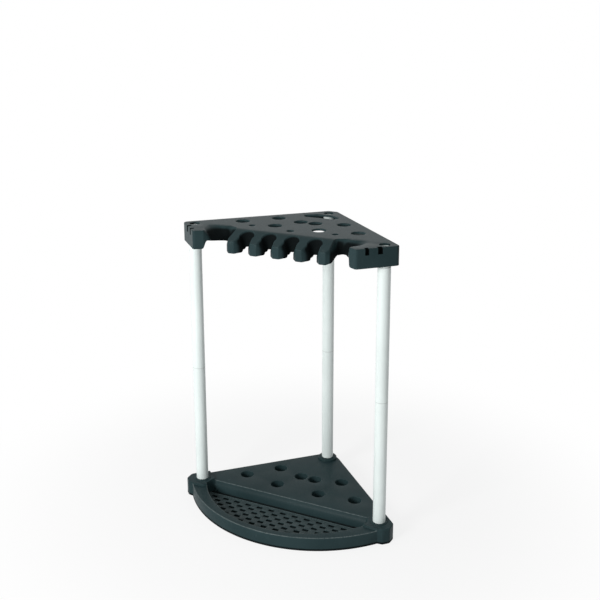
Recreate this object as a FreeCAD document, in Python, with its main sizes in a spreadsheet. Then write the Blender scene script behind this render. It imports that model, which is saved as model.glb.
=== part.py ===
import FreeCAD, Part
import math
import os
import re
import Sketcher

# Freestanding corner rack for long-handled garden tools.
# Three plastic tubes stand in a moulded base tray and carry a moulded top plate.
# All lengths are millimetres and +Z is up. X = 0 is the plane of symmetry and the front faces -Y.
# The sketches measure X and Y from the axis of the back post. "Along" runs from that axis along a
# wall side to a front post, and "outward" runs at right angles to it, towards the wall.

DRIVING_SIZES = [
    ("post_spacing", 461, "centre of the back post to the centre of a front post"),
    ("tube_radius", 20, "outside of a tube"),
    ("tube_wall", 2, "thickness of a tube wall"),
    ("neck_radius", 17.5, "reduced upper end of an upper tube"),
    ("neck_length", 73, "foot of the conical shoulder of a tube, below the flat of the top"),
    ("neck_taper", 6, "height of the conical shoulder"),
    ("seam_height", 458, "height of the seam between lower and upper tube"),
    ("joiner_length", 90, "whole length of a joiner"),
    ("joiner_wall", 2, "thickness of a joiner wall"),
    ("collar_height", 1.6, "stop collar of a joiner, seen at the seam"),
    ("slide_gap", 0.15, "radial clearance where one round piece slides into another"),
    ("base_wall", 3.5, "thickness of the base moulding"),
    ("deck_height", 44, "deck and rim of the base above the floor"),
    ("boss_rise", 7, "post bosses above the deck"),
    ("boss_radius", 33, "round part of a post boss"),
    ("boss_front", 42, "line of the front posts to the front step of a corner boss"),
    ("boss_corner", 2, "inner end of that step, outward of the tray"),
    ("foot_ring_radius", 27, "ring round the foot of a tube"),
    ("foot_ring_height", 2.5, "height of that ring above the boss"),
    ("socket_floor", 8, "floor of a post socket in the base"),
    ("base_margin", 37.2, "post line to the wall face of the base"),
    ("base_end", 51.2, "front post to the end face of the base, along the wall"),
    ("base_end_wall", 16, "wall corner of the end face, outward of the post line"),
    ("base_end_front", -10, "front corner of the end face, outward of the post line"),
    ("base_end_run", 28, "where the rounded corner meets the wall face, beyond the front post"),
    ("base_back_radius", 60, "rounded back corner of the base"),
    ("base_back_reach", 28, "back post to the rearmost point of the base"),
    ("front_end_across", 12, "front post to the end of the bowed front, across"),
    ("front_end_reach", 45.4, "line of the front posts to that end"),
    ("front_reach", 204.5, "line of the front posts to the middle of the bowed front"),
    ("tray_end_gap", 32, "front post to the end of the tray, across"),
    ("tray_end_reach", 23.6, "line of the front posts to that end, where the bow of the tray starts"),
    ("tray_reach", 182, "line of the front posts to the middle of that bow"),
    ("tray_back", 13, "straight back edge of the tray, behind the line of the front posts"),
    ("tray_slant", 10, "ends of that straight edge, short of the ends of the tray"),
    ("tray_floor", 4, "floor of the tray above the ground"),
    ("grid_back", 10, "line of the front posts to the back edge of the drip grid"),
    ("grid_gap", 2, "gap between the drip grid and the tray wall"),
    ("grid_height", 4.5, "thickness of the drip grid"),
    ("grid_border", 7, "solid border of the drip grid"),
    ("cell_width", 20, "opening of the drip grid, along X"),
    ("cell_depth", 11, "opening of the drip grid, along Y"),
    ("cell_pitch", 43.5, "spacing of the openings in a row"),
    ("row_pitch", 19.2, "spacing of the rows"),
    ("first_row", 17.5, "back edge of the drip grid to the first row"),
    ("cup_radius", 22, "cups in the deck and holes in the top that hold the tool handles"),
    ("cup_depth", 31, "depth of a cup in the deck"),
    ("top_height", 950, "flat of the top above the floor"),
    ("cap_depth", 59, "depth of the skirt of the top"),
    ("top_wall", 3.5, "thickness of the top moulding"),
    ("top_margin", 37.9, "post line to the wall face of the top"),
    ("top_back_reach", 36, "back post to the flat back face of the top"),
    ("cap_end", 30, "front post to the end face of the top, along the wall"),
    ("cap_reach", 104, "post line to the front corner of the end face"),
    ("cap_nose", 111, "post line to the inner corner of the end cap"),
    ("cap_nose_back", 2, "that inner corner, short of the front post along the wall"),
    ("cap_corner", 12, "rounded wall corner of an end cap"),
    ("cap_front_corner", 8, "rounded front corners of an end cap"),
    ("finger_pitch", 77.5, "spacing of the five fingers"),
    ("finger_reach", 65.5, "line of the front posts to the finger tips"),
    ("finger_tip_width", 20, "blunt end of a finger"),
    ("finger_depth", 66, "depth of the finger skirt below the flat of the top"),
    ("finger_drop", 28, "fall of a finger from the crest to its tip"),
    ("crest_reach", 7, "line of the front posts to the crest where the fingers start to fall"),
    ("slot_radius", 11, "round bottom of a slot between two fingers"),
    ("slot_reach", 34, "line of the front posts to the centre of that round bottom"),
    ("slot_arch", 16, "rise of the skirt behind a slot"),
    ("bay_offset", 23, "last finger to the wall of the wide bay beside it"),
    ("bay_width", 18, "blunt bottom of the wide bay"),
    ("bay_reach", 5, "bottom of the wide bay, behind the line of the front posts"),
    ("bay_knee_across", 30, "wall of the wide bay to the knee of the bay, across"),
    ("bay_knee_reach", 12, "line of the front posts to the knee of the bay"),
    ("bay_arch", 20, "rise of the skirt round a wide bay"),
    ("collar_depth", 6, "depth of the collar round a tool hole"),
    ("collar_wall", 3, "thickness of that collar"),
    ("handle_hole_radius", 16, "hole in the top over each post"),
    ("socket_lip", 6, "thickness of the top over a neck"),
    ("notch_depth", 20, "depth of the two notches in each end face"),
    ("notch_outer_edge", 18.3, "post line to the outer edge of the wide notch"),
    ("wide_notch", 16, "width of the wide notch"),
    ("hook_tab", 27, "tab between the notches"),
    ("narrow_notch", 13, "width of the narrow notch"),
]

# Each tool place is a hole in the top over a cup in the deck: across and in front of the back post.
TOOL_PLACES = [
    ("inner", 26, 163),
    ("back", 117, 141),
    ("front", 77, 245),
    ("side", 203, 230),
]

# Small round holes of the top: across, in front of the back post, radius.
SMALL_HOLES = [
    ("short_handle", 145, 273, 10),
    ("centre_handle", 0, 291, 12),
]

# Hand hole in front of the back post: across and in front of the back post.
HAND_HOLE = [
    ("hand_back", 24, 32),
    ("hand_side", 64, 57),
    ("hand_front", 52, 80),
]


doc = FreeCAD.newDocument("GardenToolRack")
sheet = doc.addObject("Spreadsheet::Sheet", "Sizes")

cells = list(DRIVING_SIZES)
for name, across, forward in TOOL_PLACES + HAND_HOLE:
    cells.append((name + "_across", across, "distance from the plane of symmetry"))
    cells.append((name + "_forward", forward, "distance in front of the back post"))
for name, across, forward, radius in SMALL_HOLES:
    cells.append((name + "_across", across, "distance from the plane of symmetry"))
    cells.append((name + "_forward", forward, "distance in front of the back post"))
    cells.append((name + "_radius", radius, "radius of the hole"))
for row, (alias, size, meaning) in enumerate(cells, 1):
    sheet.set("A%d" % row, alias)
    sheet.set("B%d" % row, str(size))
    sheet.set("C%d" % row, meaning)
    sheet.setAlias("B%d" % row, alias)
ALIASES = {cell[0] for cell in cells}
doc.recompute()


# Formulas over the sheet

def in_sheet(formula):
    """Write the sheet's name before each alias of a formula."""
    def full_name(match):
        word = match.group(0)
        return "Sizes." + word if word in ALIASES else word
    return re.sub(r"[a-z][a-z_]*", full_name, formula)


def value(formula):
    """Number that a formula gives with the present sizes."""
    return float(sheet.evalExpression(in_sheet(formula)))


def bind(thing, size_property, formula):
    """Tie a property to a formula over the sheet."""
    thing.setExpression(size_property, in_sheet(formula))


def wall_point(along, outward, side=1):
    """Point beside a wall side: x = (along + outward) / sqrt 2 and y = (outward - along) / sqrt 2."""
    sign = "" if side > 0 else "-"
    return ("%s((%s) + (%s)) / sqrt(2)" % (sign, along, outward),
            "((%s) - (%s)) / sqrt(2)" % (outward, along))


def mirrored(half):
    """Whole outline from its right half, which runs from the back to the front."""
    left = []
    for index in range(len(half) - 1, -1, -1):
        across, forward = half[index][:2]
        # An arc stands in the point that it starts from, so the mirror image takes it from the next one.
        arc = half[index - 1][2] if index and len(half[index - 1]) > 2 else None
        if across == "0":
            continue
        point = ("-(%s)" % across, forward)
        left.append(point + (arc,) if arc else point)
    return list(half) + left


POST_ACROSS = "post_spacing / sqrt(2)"
POST_FORWARD = "(-post_spacing / sqrt(2))"
POSTS = [
    ("back", "0", "0"),
    ("right", POST_ACROSS, POST_FORWARD),
    ("left", "-post_spacing / sqrt(2)", POST_FORWARD),
]
# The origin of the rack lies under the middle of its outline, and the back post stands behind it.
REARMOST = "max(top_back_reach; base_back_reach)"
BACK_POST_Y = "(front_reach - %s - %s) / 2" % (POST_FORWARD, REARMOST)
BOSS_HEIGHT = "(deck_height + boss_rise)"
SOCKET_RADIUS = "(tube_radius + slide_gap)"
NECK_TOP = "(top_height - socket_lip)"


# Sketches and features

def new_body(label):
    """Empty body, placed so that its sketches measure from the back post."""
    body = doc.addObject("PartDesign::Body", label)
    body.Label = label
    bind(body, "Placement.Base.y", BACK_POST_Y)
    return body


def new_sketch(body, name, plane, height=None):
    """Sketch on an origin plane of a body, raised to a height if one is given."""
    sketch = body.newObject("Sketcher::SketchObject", body.Label + "_" + name)
    support = [part for part in body.Origin.OriginFeatures if part.Role == plane][0]
    sketch.AttachmentSupport = [(support, "")]
    sketch.MapMode = "FlatFace"
    if height is not None:
        bind(sketch, "AttachmentOffset.Base.z", height)
    return sketch


def fix(sketch, geometry, point, across, forward):
    """Hold one point of a sketch at its two formulas."""
    for kind, formula in (("DistanceX", across), ("DistanceY", forward)):
        index = sketch.addConstraint(Sketcher.Constraint(kind, -1, 1, geometry, point, value(formula)))
        sketch.setExpression("Constraints[%d]" % index, in_sheet(formula))


def draw_loop(sketch, points):
    """Closed outline of (across, forward) points.

    A point with (centre forward, turn) after it starts an arc to the next one. The centre lies on
    the perpendicular bisector of the two ends, and turn is 1 for anticlockwise.
    """
    corners = [FreeCAD.Vector(value(point[0]), value(point[1]), 0) for point in points]
    first = sketch.GeometryCount
    count = len(points)
    for index, point in enumerate(points):
        start = corners[index]
        end = corners[(index + 1) % count]
        if len(point) < 3:
            sketch.addGeometry(Part.LineSegment(start, end))
            continue
        centre_y = value(point[2][0])
        middle = (start + end) * 0.5
        chord = end - start
        if abs(chord.x) < 1e-6:
            centre_x = middle.x
        else:
            centre_x = middle.x - (centre_y - middle.y) * chord.y / chord.x
        centre = FreeCAD.Vector(centre_x, centre_y, 0)
        radius = (start - centre).Length
        circle = Part.Circle(centre, FreeCAD.Vector(0, 0, 1), radius)
        ends = (start, end) if point[2][1] > 0 else (end, start)
        angles = [math.atan2(spot.y - centre.y, spot.x - centre.x) for spot in ends]
        if angles[1] < angles[0]:
            angles[1] += 2 * math.pi
        sketch.addGeometry(Part.ArcOfCircle(circle, angles[0], angles[1]))
    for index, point in enumerate(points):
        before = first + (index - 1) % count
        is_arc = len(point) > 2
        was_arc = len(points[index - 1]) > 2
        start_end = 2 if is_arc and point[2][1] < 0 else 1
        finish_end = 1 if was_arc and points[index - 1][2][1] < 0 else 2
        sketch.addConstraint(Sketcher.Constraint("Coincident", before, finish_end, first + index, start_end))
        fix(sketch, first + index, start_end, point[0], point[1])
        if is_arc:
            centre = Sketcher.Constraint("DistanceY", -1, 1, first + index, 3, value(point[2][0]))
            number = sketch.addConstraint(centre)
            sketch.setExpression("Constraints[%d]" % number, in_sheet(point[2][0]))


def draw_circle(sketch, across, forward, radius):
    """Circle with its centre and radius tied to formulas."""
    centre = FreeCAD.Vector(value(across), value(forward), 0)
    number = sketch.addGeometry(Part.Circle(centre, FreeCAD.Vector(0, 0, 1), value(radius)))
    fix(sketch, number, 3, across, forward)
    index = sketch.addConstraint(Sketcher.Constraint("Radius", number, value(radius)))
    sketch.setExpression("Constraints[%d]" % index, in_sheet(radius))


def pad(body, sketch, length):
    """Raise a sketch into a solid."""
    feature = body.newObject("PartDesign::Pad", sketch.Name + "_pad")
    feature.Profile = sketch
    bind(feature, "Length", length)
    sketch.Visibility = False
    doc.recompute()
    return feature


def pocket(body, sketch, depth=None, upward=True):
    """Cut a sketch out of the solid, upward unless told otherwise, right through if no depth is given."""
    before = body.Shape.Volume
    feature = body.newObject("PartDesign::Pocket", sketch.Name + "_pocket")
    feature.Profile = sketch
    feature.Reversed = upward
    if depth is None:
        feature.Type = "ThroughAll"
    else:
        bind(feature, "Length", depth)
    doc.recompute()
    if body.Shape.isNull() or body.Shape.Volume > before - 1:
        raise RuntimeError(sketch.Name + " cuts nothing")
    return feature


def shell(body, open_height, wall):
    """Hollow a body to a wall thickness, open at its flat underside."""
    solid = body.Tip
    level = value(open_height)
    open_faces = []
    for number, face in enumerate(solid.Shape.Faces, 1):
        box = face.BoundBox
        if abs(box.ZMin - level) < 1e-4 and abs(box.ZMax - level) < 1e-4:
            open_faces.append("Face%d" % number)
    feature = body.newObject("PartDesign::Thickness", body.Label + "_shell")
    feature.Base = (solid, open_faces)
    feature.Join = "Intersection"
    feature.Reversed = True
    bind(feature, "Value", wall)
    doc.recompute()
    return feature


def round_edges(body, name, radius, wanted):
    """Fillet the edges of a body that a test picks."""
    solid = body.Tip
    edges = ["Edge%d" % number for number, edge in enumerate(solid.Shape.Edges, 1) if wanted(edge)]
    feature = body.newObject("PartDesign::Fillet", body.Label + "_" + name)
    feature.Base = (solid, edges)
    bind(feature, "Radius", radius)
    doc.recompute()
    return feature


def upright_at(spots):
    """Test for upright edges that stand at one of the given points."""
    places = [(value(spot[0]), value(spot[1])) for spot in spots]

    def wanted(edge):
        box = edge.BoundBox
        if box.XLength > 1e-4 or box.YLength > 1e-4:
            return False
        return any(math.hypot(box.XMin - x, box.YMin - y) < 0.01 for x, y in places)
    return wanted


def both_sides(spots):
    """Points and their mirror images."""
    return list(spots) + [("-(%s)" % spot[0], spot[1]) for spot in spots]


def every_tool_place():
    """Formulas of the centre of each tool place, right and left."""
    right = [(name + "_across", "-" + name + "_forward") for name, across, forward in TOOL_PLACES]
    return both_sides(right)


# Base tray

def bow(half_width, end_reach, reach):
    """Radius and centre of the bow through its two ends and its middle.

    With half the width w and the rise s of the middle over the ends, the radius is (w^2 + s^2) / 2s.
    """
    rise = "(%s - %s)" % (reach, end_reach)
    radius = "((%s ^ 2 + %s ^ 2) / (2 * %s))" % (half_width, rise, rise)
    return radius, "(%s - %s + %s)" % (POST_FORWARD, reach, radius)


FRONT_HALF_WIDTH = "(%s + front_end_across)" % POST_ACROSS
FRONT_END_Y = "(%s - front_end_reach)" % POST_FORWARD
TRAY_HALF_WIDTH = "(%s - tray_end_gap)" % POST_ACROSS
TRAY_BACK_Y = "(%s + tray_back)" % POST_FORWARD
TRAY_RADIUS, TRAY_CENTRE_Y = bow(TRAY_HALF_WIDTH, "tray_end_reach", "tray_reach")
GRID_BACK_Y = "(%s - grid_back)" % POST_FORWARD


def base_outline():
    """Right half of the base seen from above: wall face, rounded end corner, bowed front."""
    back = ("base_back_radius / sqrt(2)", "base_margin * sqrt(2) - base_back_radius / sqrt(2)")
    return [
        back,
        wall_point("post_spacing + base_end_run", "base_margin"),
        wall_point("post_spacing + base_end", "base_end_wall"),
        wall_point("post_spacing + base_end", "base_end_front"),
        (FRONT_HALF_WIDTH, FRONT_END_Y,
         (bow(FRONT_HALF_WIDTH, "front_end_reach", "front_reach")[1], -1)),
    ]


def tray_outline(gap="0"):
    """Right half of the tray: straight back edge, slanted end, bowed front."""
    radius = "(%s - %s)" % (TRAY_RADIUS, gap)
    end = "(%s - %s)" % (TRAY_HALF_WIDTH, gap)
    return [
        ("%s - tray_slant" % end, "%s - %s" % (TRAY_BACK_Y, gap)),
        (end, "%s - sqrt(%s ^ 2 - %s ^ 2)" % (TRAY_CENTRE_Y, radius, end), (TRAY_CENTRE_Y, -1)),
    ]


def corner_boss(base, side):
    """Outline of the raised corner round a front post, which the tray wall cuts off."""
    inner = "(%s - tray_slant - base_wall)" % TRAY_HALF_WIDTH
    points = [
        wall_point("post_spacing - boss_radius", "base_margin"),
        base[1],
        base[2],
        base[3],
        base[4][:2],
        ("%s + boss_corner" % TRAY_HALF_WIDTH, "%s - boss_front" % POST_FORWARD),
        (inner, "%s - boss_front / 2" % POST_FORWARD),
        (inner, POST_FORWARD),
    ]
    if side == "left":
        points = [("-(%s)" % point[0], point[1]) for point in reversed(points)]
    return points


def make_base_tray():
    """Moulded base: hollow deck with a tray, eight cups and three post sockets, open underneath."""
    body = new_body("base_tray")
    plan = new_sketch(body, "plan", "XY_Plane")
    half = base_outline()
    whole = mirrored(half)
    # The back corner is one arc from the left wall face to the right one.
    whole[-1] = whole[-1][:2] + (("base_margin * sqrt(2) - base_back_radius * sqrt(2)", -1),)
    draw_loop(plan, whole)
    pad(body, plan, "deck_height")
    shell(body, "0", "base_wall")

    boss = new_sketch(body, "back_boss", "XY_Plane", "deck_height")
    draw_circle(boss, "0", "0", "boss_radius")
    pad(body, boss, "boss_rise")
    for side in ("right", "left"):
        boss = new_sketch(body, side + "_boss", "XY_Plane", "deck_height")
        draw_loop(boss, corner_boss(half, side))
        pad(body, boss, "boss_rise")

    tub = new_sketch(body, "tray_wall", "XY_Plane", "tray_floor - base_wall")
    draw_loop(tub, mirrored(tray_outline("(-base_wall)")))
    pad(body, tub, "deck_height - tray_floor + base_wall")
    cups = new_sketch(body, "cup_walls", "XY_Plane", "deck_height - cup_depth - base_wall")
    for across, forward in every_tool_place():
        draw_circle(cups, across, forward, "cup_radius + collar_wall")
    pad(body, cups, "cup_depth + base_wall")
    sockets = new_sketch(body, "socket_walls", "XY_Plane", "socket_floor - base_wall")
    for side, across, forward in POSTS:
        draw_circle(sockets, across, forward, SOCKET_RADIUS + " + base_wall")
    pad(body, sockets, BOSS_HEIGHT + " - socket_floor + base_wall")
    rings = new_sketch(body, "foot_rings", "XY_Plane", "deck_height")
    for side, across, forward in POSTS:
        draw_circle(rings, across, forward, "foot_ring_radius")
    pad(body, rings, "boss_rise + foot_ring_height")

    tray = new_sketch(body, "tray", "XY_Plane", "tray_floor")
    draw_loop(tray, mirrored(tray_outline()))
    pocket(body, tray, BOSS_HEIGHT)
    cups = new_sketch(body, "cups", "XY_Plane", "deck_height - cup_depth")
    for across, forward in every_tool_place():
        draw_circle(cups, across, forward, "cup_radius")
    pocket(body, cups, "cup_depth")
    sockets = new_sketch(body, "sockets", "XY_Plane", "socket_floor")
    for side, across, forward in POSTS:
        draw_circle(sockets, across, forward, SOCKET_RADIUS)
    pocket(body, sockets, BOSS_HEIGHT)


# Drip grid

def grid_outline(inset="0"):
    """Right half of the drip grid, drawn in by an inset."""
    radius = "(%s - grid_gap - %s)" % (TRAY_RADIUS, inset)
    end = "(%s - grid_gap - %s)" % (TRAY_HALF_WIDTH, inset)
    return [
        ("%s - tray_slant / 2" % end, "%s - %s" % (GRID_BACK_Y, inset)),
        (end, "%s - sqrt(%s ^ 2 - %s ^ 2)" % (TRAY_CENTRE_Y, radius, end), (TRAY_CENTRE_Y, -1)),
    ]


def cut_cells(body, name, stagger, first_row):
    """Cut the leftmost cell of the first row, then repeat it along X and at every second row."""
    radius = value("%s - grid_gap - grid_border" % TRAY_RADIUS)
    front = value("%s + cell_depth / 2" % TRAY_CENTRE_Y) - value(first_row)
    reach = min(math.sqrt(radius ** 2 - front ** 2), value("%s - tray_slant - grid_border" % TRAY_HALF_WIDTH))
    columns_beside = int((reach - value("cell_width / 2")) / value("cell_pitch") - stagger) + stagger
    first_column = "(-%.1f * cell_pitch)" % columns_beside
    cell = new_sketch(body, name, "XY_Plane", "tray_floor")
    half_width = "cell_width / 2"
    draw_loop(cell, [
        ("%s + %s" % (first_column, half_width), first_row + " + cell_depth / 2"),
        ("%s + %s" % (first_column, half_width), first_row + " - cell_depth / 2"),
        ("%s - %s" % (first_column, half_width), first_row + " - cell_depth / 2"),
        ("%s - %s" % (first_column, half_width), first_row + " + cell_depth / 2"),
    ])
    hole = pocket(body, cell, "grid_height")
    columns = 1 + int(round(2 * columns_beside))
    depth = value("tray_reach - grid_gap - %s" % POST_FORWARD) + value(first_row)
    rows = 1 + int(depth / value("2 * row_pitch"))
    grid = body.newObject("PartDesign::MultiTransform", body.Label + "_" + name + "_pattern")
    grid.Originals = [hole]
    steps = []
    for axis, count, pitch in (("H_Axis", columns, "cell_pitch"), ("V_Axis", rows, "2 * row_pitch")):
        pattern = body.newObject("PartDesign::LinearPattern", name + "_" + axis)
        pattern.Direction = (cell, [axis])
        pattern.Reversed = axis == "V_Axis"
        pattern.Occurrences = count
        bind(pattern, "Length", "%d * %s" % (count - 1, pitch))
        steps.append(pattern)
    grid.Transformations = steps
    body.Tip = grid
    doc.recompute()


def make_drip_grid():
    """Flat panel in the tray with staggered rows of openings inside a solid border."""
    body = new_body("drip_grid")
    panel = new_sketch(body, "panel", "XY_Plane", "tray_floor")
    draw_loop(panel, mirrored(grid_outline()))
    pad(body, panel, "grid_height")
    whole = body.Shape.Volume
    first_row = "(%s - first_row)" % GRID_BACK_Y
    cut_cells(body, "cells", 0, first_row)
    cut_cells(body, "staggered_cells", 0.5, "(%s - row_pitch)" % first_row)
    print("grid openings", round(100 * (1 - body.Shape.Volume / whole)), "% of the panel")
    border = new_sketch(body, "border", "XY_Plane", "tray_floor")
    draw_loop(border, mirrored(grid_outline()))
    draw_loop(border, mirrored(grid_outline("grid_border")))
    pad(body, border, "grid_height")


# Tubes and joiners

def revolve(body, outline):
    """Turn a closed outline of (radius, height) about the upright axis of a body."""
    profile = new_sketch(body, "profile", "XZ_Plane")
    draw_loop(profile, outline)
    feature = body.newObject("PartDesign::Revolution", body.Label + "_turned")
    feature.Profile = profile
    feature.ReferenceAxis = (profile, ["V_Axis"])
    feature.Angle = 360
    doc.recompute()
    return feature


def round_piece(kind, side, across, forward, foot, outline):
    """Piece of revolution on the axis of one post, with its foot at a height."""
    body = new_body("%s_%s" % (kind, side))
    bind(body, "Placement.Base.x", across)
    bind(body, "Placement.Base.y", "%s + %s" % (BACK_POST_Y, forward))
    bind(body, "Placement.Base.z", foot)
    revolve(body, outline)


def make_post(side, across, forward):
    """Two tubes, one over the other, and the joiner inside them."""
    bore = "(tube_radius - tube_wall)"
    lower_end = "(seam_height - collar_height / 2)"
    upper_foot = "(seam_height + collar_height / 2)"
    shoulder = "(top_height - neck_length - %s)" % upper_foot
    neck_bore = "(neck_radius - tube_wall)"
    sleeve = "(tube_radius - tube_wall - slide_gap)"
    half = "(joiner_length / 2)"
    round_piece("lower_tube", side, across, forward, "socket_floor", [
        (bore, "0"),
        ("tube_radius", "0"),
        ("tube_radius", "%s - socket_floor" % lower_end),
        (bore, "%s - socket_floor" % lower_end),
    ])
    round_piece("upper_tube", side, across, forward, upper_foot, [
        (bore, "0"),
        ("tube_radius", "0"),
        ("tube_radius", shoulder),
        ("neck_radius", "%s + neck_taper" % shoulder),
        ("neck_radius", "%s - %s" % (NECK_TOP, upper_foot)),
        (neck_bore, "%s - %s" % (NECK_TOP, upper_foot)),
        (neck_bore, "%s + neck_taper" % shoulder),
        (bore, shoulder),
    ])
    round_piece("tube_joiner", side, across, forward, "seam_height - joiner_length / 2", [
        ("%s - joiner_wall" % sleeve, "0"),
        (sleeve, "0"),
        (sleeve, "%s - collar_height / 2" % half),
        ("tube_radius", "%s - collar_height / 2" % half),
        ("tube_radius", "%s + collar_height / 2" % half),
        (sleeve, "%s + collar_height / 2" % half),
        (sleeve, "joiner_length"),
        ("%s - joiner_wall" % sleeve, "joiner_length"),
    ])


# Top plate

FINGER_MOUTH = "(finger_pitch / 2 - slot_radius - finger_tip_width / 2)"
TIP_Y = "(%s - finger_reach)" % POST_FORWARD
CREST_Y = "(%s - crest_reach)" % POST_FORWARD
SLOT_Y = "(%s - slot_reach)" % POST_FORWARD
BAY_WALL_X = "(2 * finger_pitch + bay_offset)"
BAY_BOTTOM_Y = "(%s + bay_reach)" % POST_FORWARD


def finger_outline():
    """Right half of the fingers, from the wide bay to the middle."""
    points = [
        (BAY_WALL_X, "%s + bay_offset - finger_tip_width / 2" % TIP_Y),
        ("2 * finger_pitch + finger_tip_width / 2", TIP_Y),
    ]
    for finger in (2, 1):
        middle = "((%d - 0.5) * finger_pitch)" % finger
        for side, centre in (("+", (SLOT_Y, 1)), ("-", None)):
            wall = "(%s %s slot_radius)" % (middle, side)
            tip = "(%s %s (slot_radius + %s))" % (middle, side, FINGER_MOUTH)
            mouth = (wall, "%s + %s" % (TIP_Y, FINGER_MOUTH))
            bottom = (wall, SLOT_Y) + ((centre,) if centre else ())
            points += [(tip, TIP_Y), mouth, bottom] if centre else [bottom, mouth, (tip, TIP_Y)]
    return points


def top_outline():
    """Right half of the top seen from above, from the flat back to the middle finger."""
    back_x = "top_margin * sqrt(2) - top_back_reach"
    return [
        (back_x, "top_back_reach"),
        wall_point("post_spacing + cap_end", "top_margin"),
        wall_point("post_spacing + cap_end", "-cap_reach"),
        wall_point("post_spacing - cap_nose_back", "-cap_nose"),
        ("%s + bay_knee_across" % BAY_WALL_X, "%s - bay_knee_reach" % POST_FORWARD),
        ("%s + bay_width" % BAY_WALL_X, BAY_BOTTOM_Y),
        (BAY_WALL_X, BAY_BOTTOM_Y + " - bay_width / 2"),
    ] + finger_outline()


def make_rack_top():
    """Moulded top: plate with a deep skirt, fingers, tool holes and sockets for the post necks."""
    body = new_body("rack_top")
    underside = "(top_height - finger_depth)"
    cap_bottom = "(top_height - cap_depth)"
    plan = new_sketch(body, "plan", "XY_Plane", underside)
    half = top_outline()
    draw_loop(plan, mirrored(half))
    pad(body, plan, "finger_depth")

    fall = new_sketch(body, "finger_fall", "YZ_Plane")
    slope = "(finger_drop / (finger_reach - crest_reach))"
    beyond = "(2 * finger_reach)"
    draw_loop(fall, [
        (CREST_Y, "top_height"),
        ("%s - %s" % (CREST_Y, beyond), "top_height - %s * %s" % (beyond, slope)),
        ("%s - %s" % (CREST_Y, beyond), "top_height"),
    ])
    before = body.Shape.Volume
    cut = body.newObject("PartDesign::Pocket", "finger_fall_pocket")
    cut.Profile = fall
    cut.Midplane = True
    bind(cut, "Length", "2 * (%s + bay_width / 2)" % BAY_WALL_X)
    doc.recompute()
    if body.Shape.Volume > before - 1:
        raise RuntimeError("the fall of the fingers cuts nothing")

    round_edges(body, "cap_wall_corners", "cap_corner", upright_at(both_sides([half[1]])))
    round_edges(body, "cap_corners", "cap_front_corner", upright_at(both_sides([half[2], half[3]])))
    shell(body, underside, "top_wall")
    trim_skirt(body, underside, half)
    add_post_sleeves(body, cap_bottom)
    cut_plate_holes(body)
    cut_notches(body)


def trim_skirt(body, underside, half):
    """Raise the lower edge of the skirt beside the fingers, behind each slot and round each bay."""
    beside = "(%s + top_wall)" % BAY_WALL_X
    behind = "(%s - top_wall)" % CREST_Y
    outside = "(post_spacing + cap_end)"
    skirt = new_sketch(body, "skirt_edge", "XY_Plane", underside)
    draw_loop(skirt, mirrored([
        (outside, "top_back_reach + top_wall"),
        (outside, "-" + outside),
        ("%s - slot_radius" % beside, "-" + outside),
        ("%s - slot_radius" % beside, behind),
    ]))
    pocket(body, skirt, "finger_depth - cap_depth")
    arches = new_sketch(body, "slot_arches", "XY_Plane", underside)
    for slot in (-1.5, -0.5, 0.5, 1.5):
        draw_circle(arches, "%.1f * finger_pitch" % slot, SLOT_Y, "slot_radius + 1.5 * top_wall")
    pocket(body, arches, "slot_arch")
    for side in ("right", "left"):
        bay = new_sketch(body, side + "_bay_arch", "XY_Plane", underside)
        points = [
            (BAY_WALL_X + " - 2 * top_wall", SLOT_Y),
            (BAY_WALL_X + " - 2 * top_wall", BAY_BOTTOM_Y + " + 2 * top_wall"),
            (half[5][0] + " + top_wall", BAY_BOTTOM_Y + " + 2 * top_wall"),
            (half[4][0] + " + 3 * top_wall", half[4][1] + " + top_wall"),
            (half[3][0], half[3][1] + " + 4 * top_wall"),
            (half[3][0], half[3][1] + " + cap_front_corner"),
            (half[4][0], SLOT_Y),
        ]
        if side == "left":
            points = [("-(%s)" % point[0], point[1]) for point in reversed(points)]
        draw_loop(bay, points)
        pocket(body, bay, "bay_arch")


def add_post_sleeves(body, cap_bottom):
    """Sleeves under the plate that take the post necks, each with a hole in the plate over it."""
    bore = "(neck_radius + slide_gap)"
    sleeves = new_sketch(body, "sleeves", "XY_Plane", cap_bottom)
    bores = new_sketch(body, "sleeve_bores", "XY_Plane", cap_bottom)
    holes = new_sketch(body, "post_holes", "XY_Plane", cap_bottom)
    for side, across, forward in POSTS:
        draw_circle(sleeves, across, forward, bore + " + top_wall")
        draw_circle(bores, across, forward, bore)
        draw_circle(holes, across, forward, "handle_hole_radius")
    pad(body, sleeves, "cap_depth")
    pocket(body, bores, "cap_depth - socket_lip")
    pocket(body, holes, "cap_depth")


def cut_plate_holes(body):
    """Collared tool holes over the cups, three small holes and the hand hole."""
    collars = new_sketch(body, "collars", "XY_Plane", "top_height - collar_depth")
    holes = new_sketch(body, "tool_holes", "XY_Plane", "top_height - collar_depth")
    for across, forward in every_tool_place():
        draw_circle(collars, across, forward, "cup_radius + collar_wall")
        draw_circle(holes, across, forward, "cup_radius")
    pad(body, collars, "collar_depth")
    pocket(body, holes, "collar_depth")
    small = new_sketch(body, "small_holes", "XY_Plane", "top_height - collar_depth")
    for name, across, forward, radius in SMALL_HOLES:
        spots = both_sides([(name + "_across", "-" + name + "_forward")])
        for spot in spots if across else spots[:1]:
            draw_circle(small, spot[0], spot[1], name + "_radius")
    pocket(body, small, "collar_depth")
    hand = new_sketch(body, "hand_hole", "XY_Plane", "top_height - collar_depth")
    corners = [(name + "_across", "-" + name + "_forward") for name, across, forward in HAND_HOLE]
    draw_loop(hand, mirrored(corners))
    pocket(body, hand, "collar_depth")


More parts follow.
